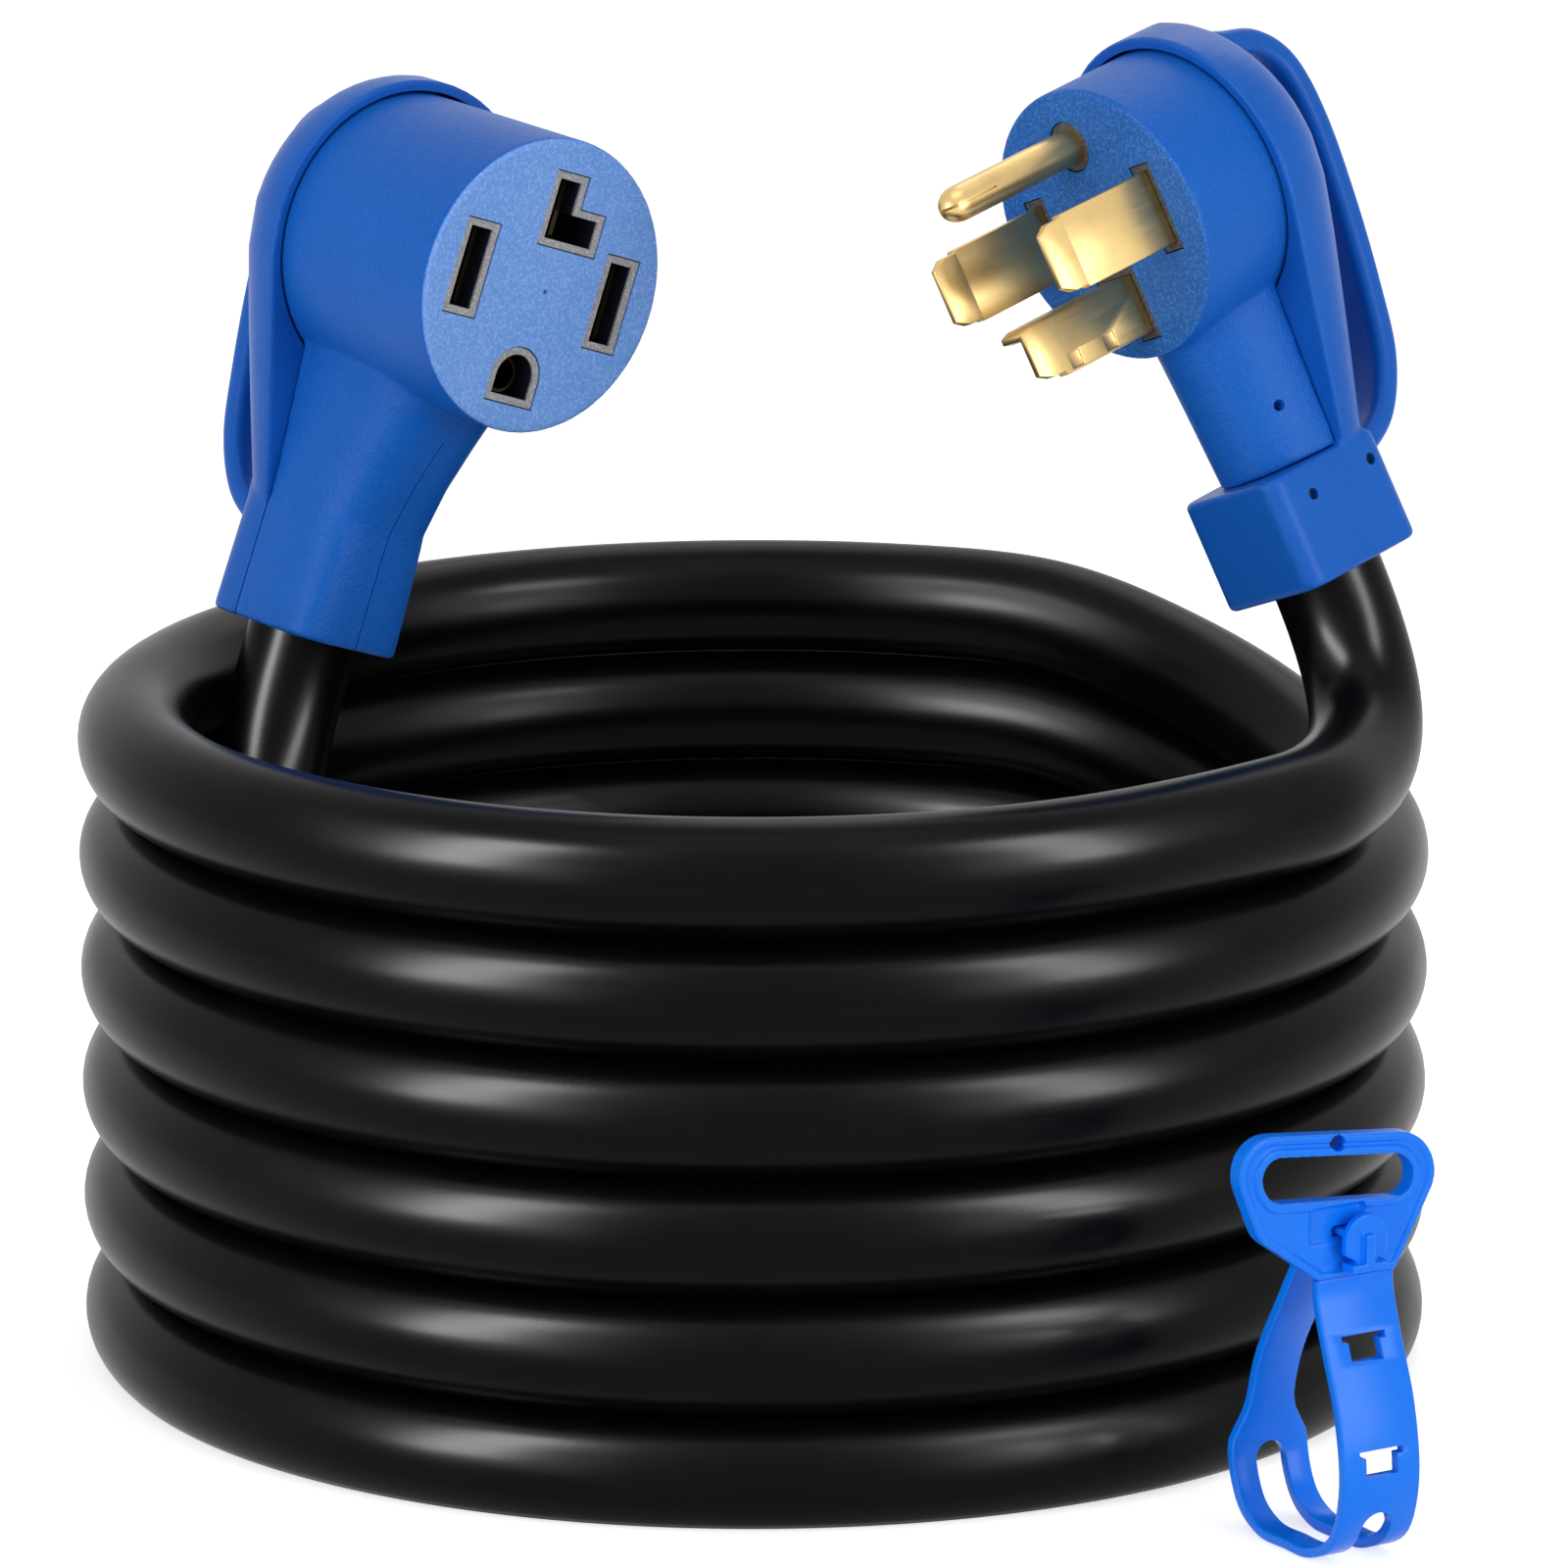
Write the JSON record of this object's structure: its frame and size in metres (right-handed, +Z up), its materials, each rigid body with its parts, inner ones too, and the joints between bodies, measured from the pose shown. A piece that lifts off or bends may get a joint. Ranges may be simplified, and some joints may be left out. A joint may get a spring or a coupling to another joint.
{
  "type": "power supply cord",
  "caption": "Coiled heavy power cord with a blade plug, a matching slotted connector, both with grab handles, and a carrying strap.",
  "frame": {"origin": "on the coil's axis at the level that it stands on", "axes": "+Z up along the coil's axis, +X towards the plug's side, -Y towards the front where the strap stands"},
  "size_m": [0.2246, 0.2476, 0.223],
  "materials": {
    "jacket_black": "glossy",
    "body_blue": "fine grained",
    "cover_blue": "satin",
    "insert_grey": "speckled",
    "contact_brass": "polished",
    "wire_black": "satin",
    "wire_red": "satin",
    "wire_white": "satin",
    "wire_green": "satin",
    "seal_rubber": "matte",
    "screw_steel": "plain",
    "strap_blue": "satin"
  },
  "bodies": {
    "cord": {"cord_coil": "jacket_black", "cord_plug_end": "jacket_black", "cord_connector_end": "jacket_black", "plug_front_body": "body_blue", "plug_rear_cover": "cover_blue", "plug_blade_carrier": "insert_grey", "plug_hot_blade_left": "contact_brass", "plug_hot_blade_right": "contact_brass", "plug_neutral_blade": "contact_brass", "plug_ground_pin": "contact_brass", "plug_hot_wire_left": "wire_black", "plug_hot_wire_right": "wire_red", "plug_neutral_wire": "wire_white", "plug_ground_wire": "wire_green", "plug_cord_seal": "seal_rubber", "plug_cover_screws": "screw_steel", "connector_front_body": "body_blue", "connector_rear_cover": "cover_blue", "connector_contact_carrier": "insert_grey", "connector_hot_contact_left": "contact_brass", "connector_hot_contact_right": "contact_brass", "connector_neutral_contact": "contact_brass", "connector_ground_contact": "contact_brass", "connector_hot_wire_left": "wire_black", "connector_hot_wire_right": "wire_red", "connector_neutral_wire": "wire_white", "connector_ground_wire": "wire_green", "connector_cord_seal": "seal_rubber", "connector_cover_screws": "screw_steel"},
    "strap": {"strap_band": "strap_blue", "strap_grip": "strap_blue", "strap_hook": "strap_blue"}
  },
  "joints": [
    {"name": "strap_lift", "type": "slide", "parent": "cord", "child": "strap", "axis": [0, 0, 1], "range_m": [0, 0.1]}
  ]
}
